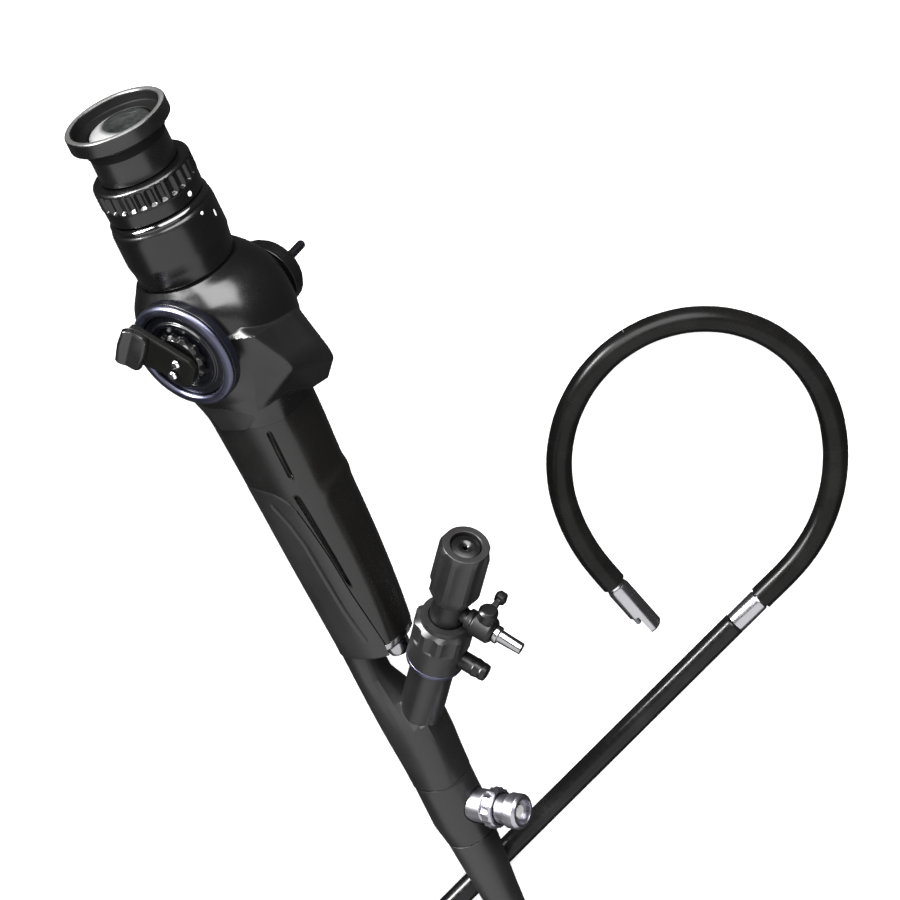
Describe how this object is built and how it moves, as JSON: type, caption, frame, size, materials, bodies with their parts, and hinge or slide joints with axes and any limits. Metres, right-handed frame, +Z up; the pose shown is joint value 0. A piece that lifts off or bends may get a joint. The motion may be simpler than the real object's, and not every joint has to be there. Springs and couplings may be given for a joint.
{
  "type": "flexible endoscope",
  "caption": "Fibre endoscope: eyepiece, domed control head with thumb lever, grip with angled channel port, light-guide connector and a flexible tube with a bending tip.",
  "frame": {"origin": "on the table, under the middle of the bounding box of the control section", "axes": "+Y along the control section toward the eyepiece, +X toward the side of the bending tip, +Z up from the table"},
  "size_m": [0.2508, 0.4025, 0.0659],
  "materials": {
    "black_plastic": "glossy",
    "black_rubber": "matte",
    "blue_anodised": "anodised",
    "chrome": "polished",
    "fibre": "satin",
    "glass": "clear",
    "grey_plastic": "satin",
    "steel": "satin",
    "tube_cover": "satin"
  },
  "bodies": {
    "control": {"bending_cover": "black_rubber", "boot": "black_rubber", "connecting_ring": "steel", "control_plate": "black_plastic", "end_plate": "chrome", "eyecup": "black_rubber", "eyepiece_base": "black_plastic", "grip_panel": "grey_plastic", "grip_shell": "black_plastic", "guide_barrel": "chrome", "guide_rod": "glass", "guide_sleeve": "black_plastic", "head_housing": "black_plastic", "image_bundle": "fibre", "insertion_tube": "tube_cover", "link_00": "steel", "lower_body": "grey_plastic", "luer_nozzle": "chrome", "ocular_lens": "glass", "plate_trim": "blue_anodised", "plug_body": "grey_plastic", "port_neck": "black_plastic", "port_ring": "chrome", "side_valve": "black_plastic", "suction_nipple": "black_plastic", "vent_boss": "black_plastic", "vent_pin": "steel"},
    "dioptre": {"dioptre_ring": "black_plastic"},
    "lever": {"lever_shaft": "steel", "lever_hub": "black_plastic", "lever_arm": "black_plastic", "thumb_pad": "black_rubber", "lever_screw_1": "chrome", "lever_screw_2": "chrome"},
    "cap": {"port_cap": "grey_plastic", "cap_seal": "black_rubber"},
    "key": {"key_hub": "black_plastic", "key_arm": "black_plastic"},
    "collar": {"guide_collar": "steel"},
    "bend_01": {"link_01": "steel"},
    "bend_02": {"link_02": "steel"},
    "bend_03": {"link_03": "steel"},
    "bend_04": {"link_04": "steel"},
    "bend_05": {"link_05": "steel"},
    "bend_06": {"link_06": "steel"},
    "bend_07": {"link_07": "steel"},
    "bend_08": {"link_08": "steel"},
    "bend_09": {"link_09": "steel"},
    "bend_10": {"link_10": "steel"},
    "bend_11": {"link_11": "steel"},
    "bend_12": {"link_12": "steel"},
    "bend_13": {"link_13": "steel"},
    "bend_14": {"link_14": "steel"},
    "bend_15": {"link_15": "steel"},
    "bend_16": {"link_16": "steel"},
    "bend_17": {"link_17": "steel"},
    "bend_18": {"link_18": "steel", "tip_body": "steel", "tip_lens": "glass"}
  },
  "joints": [
    {"name": "dioptre_turn", "type": "hinge", "parent": "control", "child": "dioptre", "pos_m": [-0.00695, 0.14495, 0.02457], "axis": [0, 0.9993, 0.0366], "range_deg": [-60, 60]},
    {"name": "angulation", "type": "hinge", "parent": "control", "child": "lever", "pos_m": [-0.0195, 0.09587, 0.04102], "axis": [-0.7193, -0.0255, 0.6942], "range_deg": [-0.2, 80.2], "deforming": ["bending_cover"]},
    {"name": "cap_turn", "type": "hinge", "parent": "control", "child": "cap", "pos_m": [0.02654, 0.00012, 0.05396], "axis": [0.4238, 0.7757, 0.4676], "range_deg": [0, 90]},
    {"name": "valve_key_turn", "type": "hinge", "parent": "control", "child": "key", "pos_m": [0.02771, -0.01838, 0.05449], "axis": [-0.4238, -0.7757, -0.4676], "range_deg": [0, 90]},
    {"name": "guide_collar_turn", "type": "hinge", "parent": "control", "child": "collar", "pos_m": [0.00411, -0.09493, 0.02723], "axis": [0.6909, -0.1307, 0.7111], "range_deg": [-90, 90]},
    {"name": "bend_01_hinge", "type": "hinge", "parent": "control", "child": "bend_01", "pos_m": [0.12549, -0.07364, 0.00405], "axis": [0, 0, 1], "range_deg": [-21.99, 0], "deforming": ["bending_cover"]},
    {"name": "bend_02_hinge", "type": "hinge", "parent": "bend_01", "child": "bend_02", "pos_m": [0.13571, -0.06591, 0.00405], "axis": [0, 0, 1], "range_deg": [-20.58, 0.05], "deforming": ["bending_cover"]},
    {"name": "bend_03_hinge", "type": "hinge", "parent": "bend_02", "child": "bend_03", "pos_m": [0.14373, -0.05593, 0.00405], "axis": [0, 0, 1], "range_deg": [-19.13, 0.05], "deforming": ["bending_cover"]},
    {"name": "bend_04_hinge", "type": "hinge", "parent": "bend_03", "child": "bend_04", "pos_m": [0.14929, -0.04438, 0.00405], "axis": [0, 0, 1], "range_deg": [-17.67, 0.05], "deforming": ["bending_cover"]},
    {"name": "bend_05_hinge", "type": "hinge", "parent": "bend_04", "child": "bend_05", "pos_m": [0.1523, -0.03193, 0.00405], "axis": [0, 0, 1], "range_deg": [-19.27, 0.05], "deforming": ["bending_cover"]},
    {"name": "bend_06_hinge", "type": "hinge", "parent": "bend_05", "child": "bend_06", "pos_m": [0.15239, -0.01912, 0.00405], "axis": [0, 0, 1], "range_deg": [-20.73, 0.05], "deforming": ["bending_cover"]},
    {"name": "bend_07_hinge", "type": "hinge", "parent": "bend_06", "child": "bend_07", "pos_m": [0.14934, -0.00668, 0.00405], "axis": [0, 0, 1], "range_deg": [-22.33, 0.05], "deforming": ["bending_cover"]},
    {"name": "bend_08_hinge", "type": "hinge", "parent": "bend_07", "child": "bend_08", "pos_m": [0.14311, 0.00451, 0.00405], "axis": [0, 0, 1], "range_deg": [-23.93, 0.05], "deforming": ["bending_cover"]},
    {"name": "bend_09_hinge", "type": "hinge", "parent": "bend_08", "child": "bend_09", "pos_m": [0.13397, 0.01349, 0.00405], "axis": [0, 0, 1], "range_deg": [-24.37, 0.05], "deforming": ["bending_cover"]},
    {"name": "bend_10_hinge", "type": "hinge", "parent": "bend_09", "child": "bend_10", "pos_m": [0.12264, 0.01946, 0.00405], "axis": [0, 0, 1], "range_deg": [-24.95, 0.05], "deforming": ["bending_cover"]},
    {"name": "bend_11_hinge", "type": "hinge", "parent": "bend_10", "child": "bend_11", "pos_m": [0.11005, 0.02184, 0.00405], "axis": [0, 0, 1], "range_deg": [-25.39, 0.05], "deforming": ["bending_cover"]},
    {"name": "bend_12_hinge", "type": "hinge", "parent": "bend_11", "child": "bend_12", "pos_m": [0.09733, 0.02035, 0.00405], "axis": [0, 0, 1], "range_deg": [-25.83, 0.05], "deforming": ["bending_cover"]},
    {"name": "bend_13_hinge", "type": "hinge", "parent": "bend_12", "child": "bend_13", "pos_m": [0.08566, 0.01505, 0.00405], "axis": [0, 0, 1], "range_deg": [-24.37, 0.05], "deforming": ["bending_cover"]},
    {"name": "bend_14_hinge", "type": "hinge", "parent": "bend_13", "child": "bend_14", "pos_m": [0.07601, 0.00663, 0.00405], "axis": [0, 0, 1], "range_deg": [-22.91, 0.05], "deforming": ["bending_cover"]},
    {"name": "bend_15_hinge", "type": "hinge", "parent": "bend_14", "child": "bend_15", "pos_m": [0.06899, -0.00409, 0.00405], "axis": [0, 0, 1], "range_deg": [-21.46, 0.05], "deforming": ["bending_cover"]},
    {"name": "bend_16_hinge", "type": "hinge", "parent": "bend_15", "child": "bend_16", "pos_m": [0.06493, -0.01623, 0.00405], "axis": [0, 0, 1], "range_deg": [-20, 0.05], "deforming": ["bending_cover"]},
    {"name": "bend_17_hinge", "type": "hinge", "parent": "bend_16", "child": "bend_17", "pos_m": [0.06386, -0.029, 0.00405], "axis": [0, 0, 1], "range_deg": [-14.76, 0.05], "deforming": ["bending_cover"]},
    {"name": "bend_18_hinge", "type": "hinge", "parent": "bend_17", "child": "bend_18", "pos_m": [0.06504, -0.04175, 0.00405], "axis": [0, 0, 1], "range_deg": [-14.18, 0.05], "deforming": ["bending_cover"]}
  ],
  "couplings": [
    {"joint": "bend_02_hinge", "follows": "bend_01_hinge", "ratio": 0.93378},
    {"joint": "bend_03_hinge", "follows": "bend_01_hinge", "ratio": 0.86755},
    {"joint": "bend_04_hinge", "follows": "bend_01_hinge", "ratio": 0.80132},
    {"joint": "bend_05_hinge", "follows": "bend_01_hinge", "ratio": 0.87417},
    {"joint": "bend_06_hinge", "follows": "bend_01_hinge", "ratio": 0.9404},
    {"joint": "bend_07_hinge", "follows": "bend_01_hinge", "ratio": 1.0132},
    {"joint": "bend_08_hinge", "follows": "bend_01_hinge", "ratio": 1.0861},
    {"joint": "bend_09_hinge", "follows": "bend_01_hinge", "ratio": 1.106},
    {"joint": "bend_10_hinge", "follows": "bend_01_hinge", "ratio": 1.1324},
    {"joint": "bend_11_hinge", "follows": "bend_01_hinge", "ratio": 1.1523},
    {"joint": "bend_12_hinge", "follows": "bend_01_hinge", "ratio": 1.1722},
    {"joint": "bend_13_hinge", "follows": "bend_01_hinge", "ratio": 1.106},
    {"joint": "bend_14_hinge", "follows": "bend_01_hinge", "ratio": 1.0397},
    {"joint": "bend_15_hinge", "follows": "bend_01_hinge", "ratio": 0.97351},
    {"joint": "bend_16_hinge", "follows": "bend_01_hinge", "ratio": 0.90729},
    {"joint": "bend_17_hinge", "follows": "bend_01_hinge", "ratio": 0.66887},
    {"joint": "bend_18_hinge", "follows": "bend_01_hinge", "ratio": 0.64238},
    {"joint": "angulation", "follows": "bend_01_hinge", "ratio": -3.6381}
  ]
}
